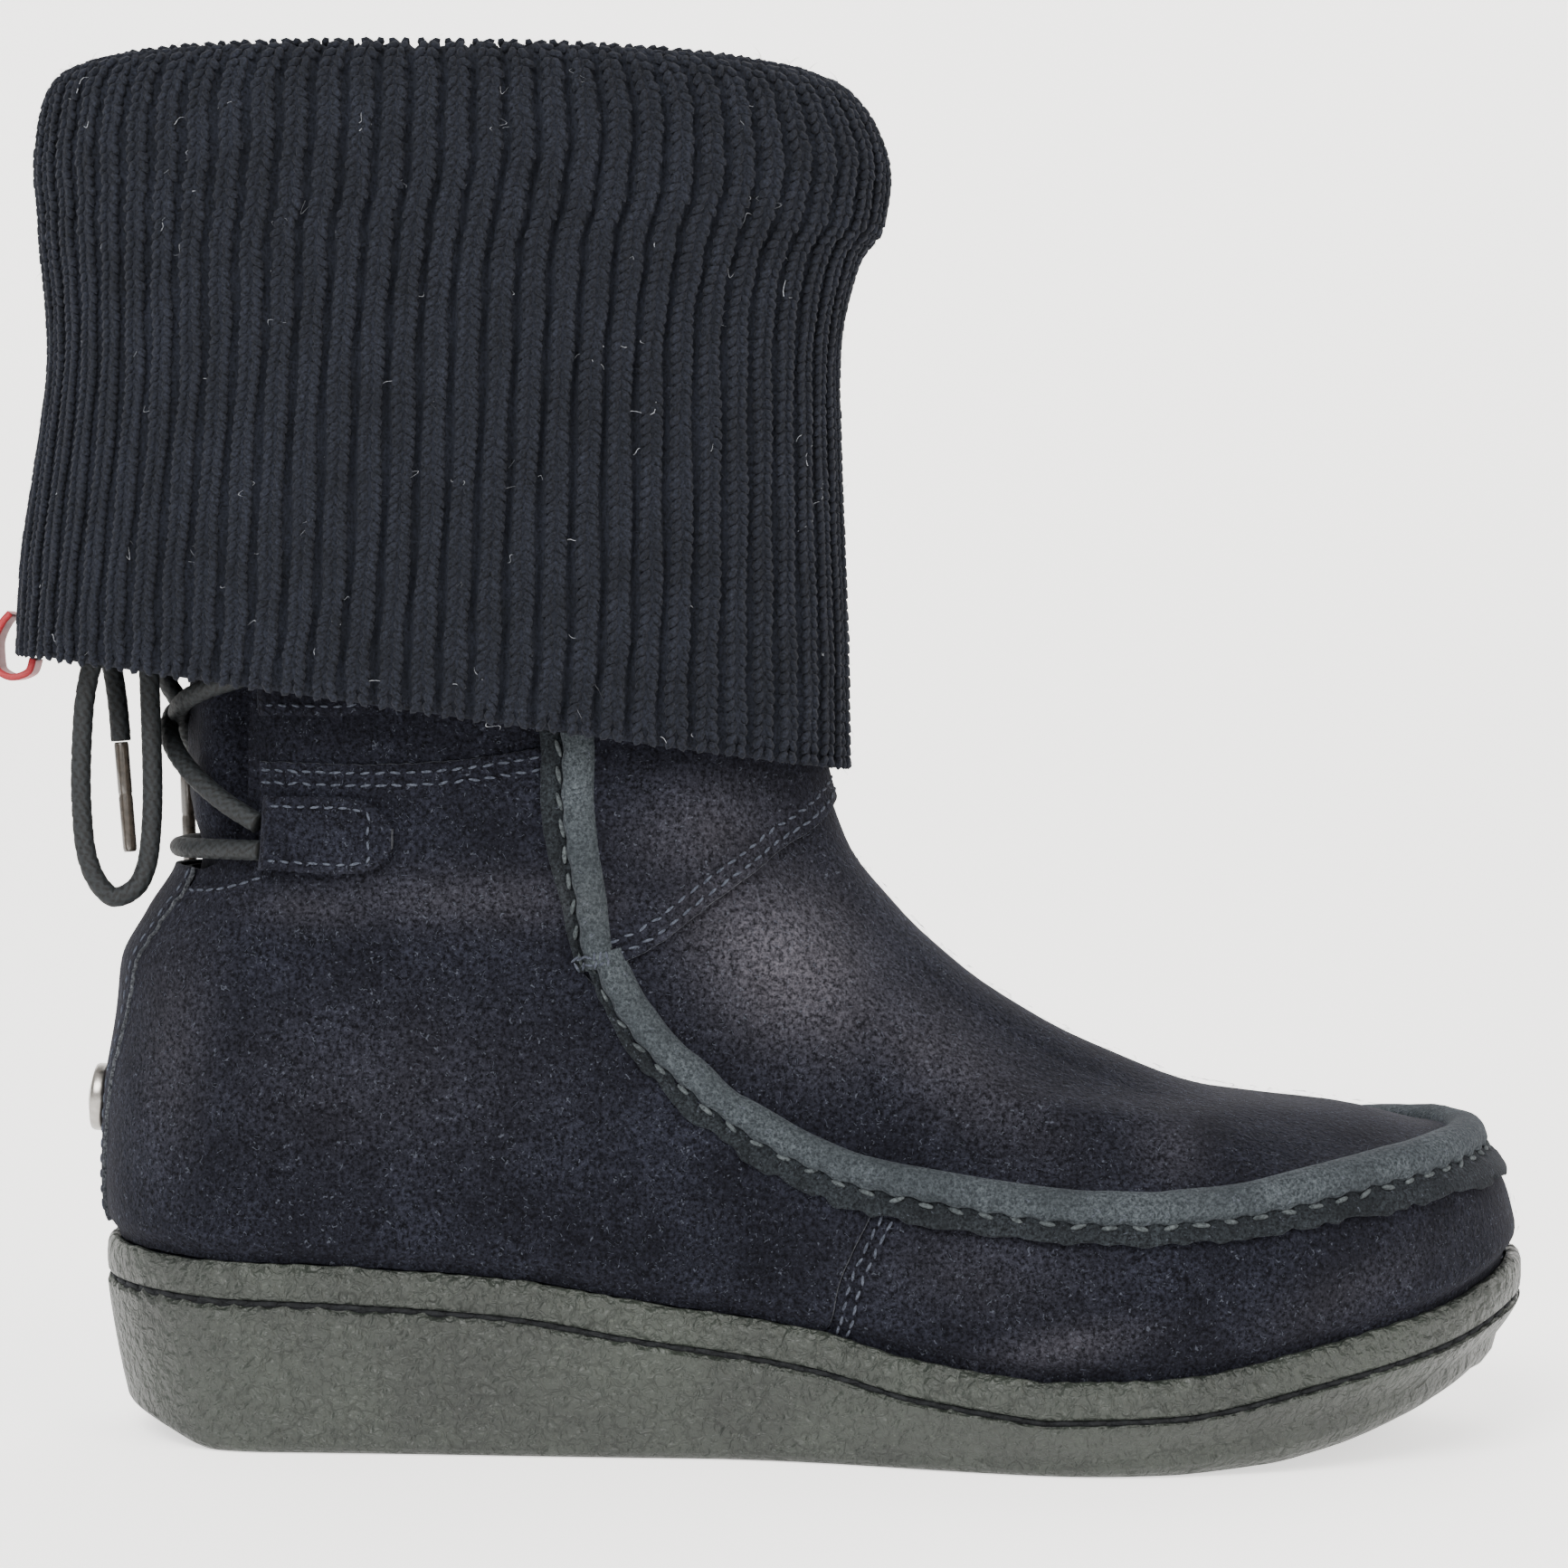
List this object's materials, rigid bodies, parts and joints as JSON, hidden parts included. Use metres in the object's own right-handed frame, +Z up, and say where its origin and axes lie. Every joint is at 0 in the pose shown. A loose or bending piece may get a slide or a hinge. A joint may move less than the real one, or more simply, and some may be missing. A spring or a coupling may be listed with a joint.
{
  "type": "suede boot with knit cuff",
  "caption": "Right suede moccasin boot with a folded rib-knit cuff, a raised seam round the toe, a laced back throat and a rubber wedge cup sole.",
  "frame": {"origin": "on the floor under the middle of the sole's length, on the flat tread", "axes": "+X to the toe, +Y to the inner side of the foot, +Z up"},
  "size_m": [0.294, 0.1006, 0.2643],
  "materials": {
    "rubber": "matte, fine crepe grain",
    "suede": "brushed suede nap",
    "seam_leather": "matte, worn",
    "knit": "rib knit, slightly fuzzy",
    "lace": "round braid",
    "lining": "matte",
    "tape": "woven tape",
    "aglet": "smoky clear",
    "stud": "worn polish"
  },
  "bodies": {
    "root": {"outsole": "rubber", "insole": "lining", "upper": "suede", "moc_seam": "seam_leather", "collar_strip_lateral": "seam_leather", "collar_strip_medial": "seam_leather", "front_panel": "suede", "backstay": "suede", "gusset": "suede", "lace_tab_lateral_lower": "suede", "lace_tab_lateral_upper": "suede", "lace_tab_medial_lower": "suede", "lace_tab_medial_upper": "suede", "heel_stud": "stud", "knit_cuff": "knit", "pull_tape": "tape", "lace_bar": "lace", "lace_crossings": "lace", "lace_tie_lateral": "lace", "lace_tie_medial": "lace", "lace_knot": "lace", "lace_loop_lateral": "lace", "lace_loop_medial": "lace", "lace_end_lateral": "lace", "lace_end_medial": "lace", "aglet_lateral": "aglet", "aglet_medial": "aglet"}
  },
  "joints": []
}
